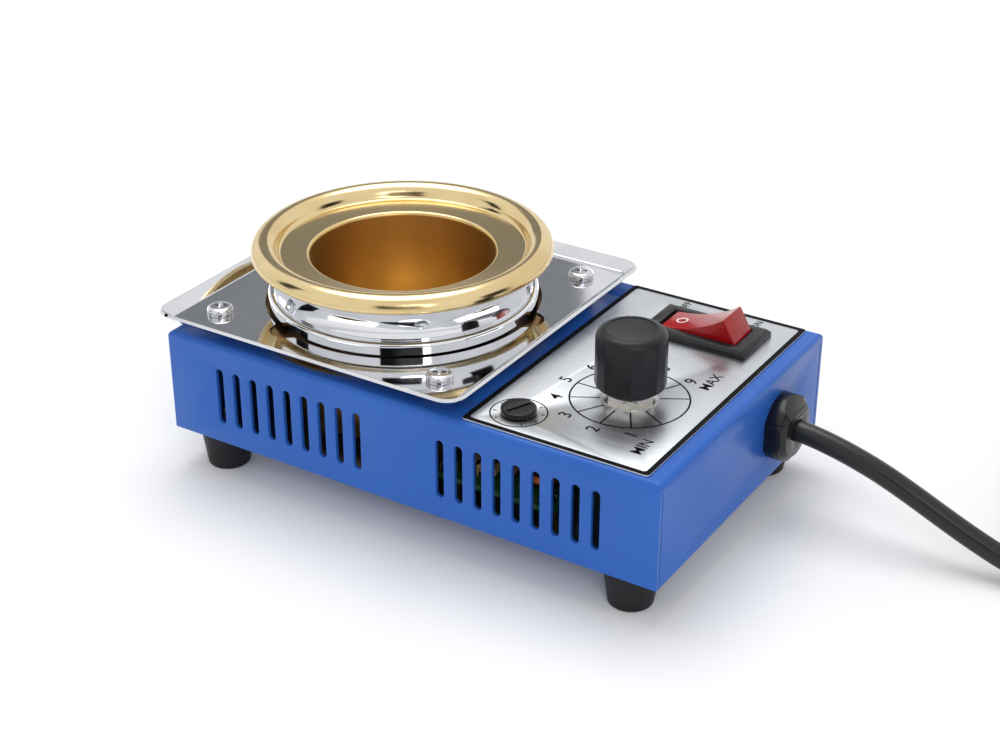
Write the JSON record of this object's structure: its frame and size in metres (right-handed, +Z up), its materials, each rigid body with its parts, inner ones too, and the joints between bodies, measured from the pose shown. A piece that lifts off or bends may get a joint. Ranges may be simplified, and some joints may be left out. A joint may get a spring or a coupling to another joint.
{
  "type": "solder pot",
  "caption": "Bench solder pot: a heated round crucible in a polished deck on a blue folded steel case, with a temperature knob, a rocker switch and a coiled mains cord.",
  "frame": {"origin": "on the bench under the middle of the pot without its free cord", "axes": "+X along the case from the crucible to the controls and the cord, +Y to the rear long side, +Z up"},
  "size_m": [0.3109, 0.156, 0.0668],
  "materials": {
    "case_blue": "gloss coat on folded steel",
    "plated_steel": "zinc plated sheet",
    "foot_rubber": "matt, moulded",
    "fastener_steel": "bright plated",
    "polished_steel": "polished stainless sheet",
    "collar_chrome": "turned and chromed",
    "crucible_gold": "polished rim, satin bath",
    "mica": "mica and ribbon wire, matt",
    "wool": "mineral wool, matt",
    "heat_tinted_steel": "straw-tinted by heat",
    "panel_aluminium": "brushed and printed",
    "knob_plastic": "moulded, faint sheen",
    "control_metal": "nickel plated",
    "pot_metal": "plated can",
    "switch_black": "moulded",
    "rocker_red": "moulded, glossy",
    "terminal_tin": "tinned brass",
    "trimmer_black": "moulded",
    "trimmer_blue": "moulded",
    "board_green": "solder-resist laminate",
    "standoff_brass": "turned",
    "part_black": "moulded package",
    "sink_aluminium": "mill finish",
    "capacitor_yellow": "moulded box",
    "choke_copper": "wound enamelled wire",
    "resistor_tan": "lacquered",
    "block_green": "moulded",
    "lead_sleeve": "woven glass sleeve",
    "core_brown": "insulated core",
    "relief_black": "moulded nylon",
    "cord_black": "glossy jacket",
    "tie_black": "soft strap",
    "pin_brass": "bright"
  },
  "bodies": {
    "pot": {"case_cover": "case_blue", "base_plate": "plated_steel", "foot_front_left": "foot_rubber", "foot_front_right": "foot_rubber", "foot_rear_left": "foot_rubber", "foot_rear_right": "foot_rubber", "foot_screws": "fastener_steel", "foot_nuts": "fastener_steel", "deck_plate": "polished_steel", "deck_screws": "fastener_steel", "deck_spacers": "fastener_steel", "deck_nuts": "fastener_steel", "heater_collar": "collar_chrome", "crucible": "crucible_gold", "heater_band": "mica", "heater_strap": "fastener_steel", "strap_screw": "fastener_steel", "insulation": "wool", "heater_shell": "heat_tinted_steel", "shell_rivets": "fastener_steel", "control_panel": "panel_aluminium", "potentiometer_body": "pot_metal", "potentiometer_washer": "control_metal", "potentiometer_nut": "control_metal", "switch_housing": "switch_black", "switch_terminals": "terminal_tin", "trimmer_body": "trimmer_blue", "circuit_board": "board_green", "board_standoffs": "standoff_brass", "board_screws": "fastener_steel", "triac": "part_black", "heat_sink": "sink_aluminium", "capacitor": "capacitor_yellow", "choke": "choke_copper", "resistors": "resistor_tan", "terminal_block": "block_green", "heater_leads": "lead_sleeve", "switch_leads": "core_brown", "strain_relief_lower": "relief_black", "strain_relief_upper": "relief_black", "power_cord": "cord_black", "cord_coil": "cord_black", "cord_tail": "cord_black", "cord_tie": "tie_black", "mains_plug": "cord_black", "plug_pins": "pin_brass"},
    "knob": {"control_knob": "knob_plastic", "potentiometer_shaft": "control_metal"},
    "rocker": {"switch_rocker": "rocker_red"},
    "trimmer": {"trimmer_rotor": "trimmer_black"}
  },
  "joints": [
    {"name": "knob_turn", "type": "hinge", "parent": "pot", "child": "knob", "pos_m": [0.05389, -0.0148, 0.0443], "axis": [0, 0, 1], "range_deg": [-90, 210]},
    {"name": "switch_rock", "type": "hinge", "parent": "pot", "child": "rocker", "pos_m": [0.05379, 0.0298, 0.045], "axis": [0, 1, 0], "range_deg": [0, 38]},
    {"name": "trimmer_turn", "type": "hinge", "parent": "pot", "child": "trimmer", "pos_m": [0.03289, -0.0374, 0.0443], "axis": [0, 0, 1], "range_deg": [-135, 135]}
  ]
}
